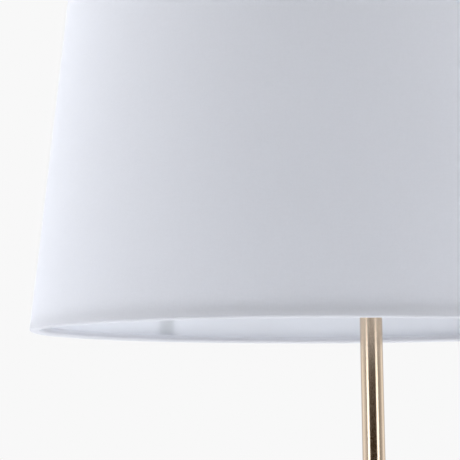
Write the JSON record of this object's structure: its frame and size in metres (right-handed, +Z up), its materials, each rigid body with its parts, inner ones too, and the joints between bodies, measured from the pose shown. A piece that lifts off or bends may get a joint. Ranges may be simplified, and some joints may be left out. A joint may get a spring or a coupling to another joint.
{
  "type": "floor lamp",
  "caption": "Floor lamp: round weighted base, slim pole that rises through a white tapered fabric shade and crooks over it to the lampholder.",
  "frame": {"origin": "on the floor, on the pole's axis, at the middle of the base's underside", "axes": "+Z up along the pole; the crook and the shade are towards -Y; the switch knob points to +X"},
  "size_m": [0.41, 0.4387, 1.5289],
  "materials": {
    "satin_brass": "satin",
    "bright_brass": "satin",
    "plain_steel": "satin",
    "cast_iron": "matte",
    "pad_rubber": "matte",
    "black_plastic": "satin",
    "porcelain": "gloss",
    "opal_glass": "gloss",
    "shade_fabric": "matte",
    "shade_lining": "satin",
    "white_wire": "satin"
  },
  "bodies": {
    "stand": {"base_pad": "pad_rubber", "base_weight": "cast_iron", "base_cover": "satin_brass", "cord_gland": "black_plastic", "gland_nut": "black_plastic", "foot_nut": "plain_steel", "earth_tag": "bright_brass", "foot_washer": "plain_steel", "foot_stud": "plain_steel", "foot_collar": "satin_brass", "pole_lower": "satin_brass", "pole_lower_foot_insert": "plain_steel", "pole_lower_head_insert": "plain_steel", "joint_stud_lower": "plain_steel", "pole_middle": "satin_brass", "pole_middle_foot_insert": "plain_steel", "pole_middle_head_insert": "plain_steel", "joint_stud_middle": "plain_steel", "pole_upper": "satin_brass", "pole_upper_foot_insert": "plain_steel", "pole_upper_head_insert": "plain_steel", "joint_stud_upper": "plain_steel", "crook_tube": "satin_brass", "crook_foot_insert": "plain_steel", "crook_end_insert": "plain_steel", "holder_collar": "satin_brass", "holder_nipple": "plain_steel", "holder_nut": "plain_steel", "holder_cup": "satin_brass", "holder_skirt": "black_plastic", "contact_block": "porcelain", "screw_shell": "bright_brass", "centre_contact": "bright_brass", "shade_ring_nut": "black_plastic", "switch_bush": "bright_brass", "switch_nut": "bright_brass"},
    "shade": {"shade_cover": "shade_fabric", "shade_lining": "shade_lining", "lining_seam": "shade_lining", "bottom_ring": "white_wire", "top_ring": "white_wire", "fitter_ring": "white_wire", "fitter_spoke_1": "white_wire", "fitter_spoke_2": "white_wire", "fitter_spoke_3": "white_wire"},
    "bulb": {"bulb_glass": "opal_glass", "bulb_cap": "bright_brass", "bulb_insulator": "black_plastic", "bulb_tip": "plain_steel"},
    "switch_knob": {"switch_spindle": "plain_steel", "switch_knob": "black_plastic"}
  },
  "joints": [
    {"name": "shade_turn", "type": "hinge", "parent": "stand", "child": "shade", "pos_m": [0, -0.09, 1.41], "axis": [0, 0, 1], "range_deg": [-50, 50]},
    {"name": "bulb_out", "type": "slide", "parent": "stand", "child": "bulb", "axis": [0, 0, -1], "range_m": [0, 0.03]},
    {"name": "switch_turn", "type": "hinge", "parent": "stand", "child": "switch_knob", "pos_m": [0.03, -0.09, 1.4295], "axis": [1, 0, 0], "continuous": true}
  ]
}
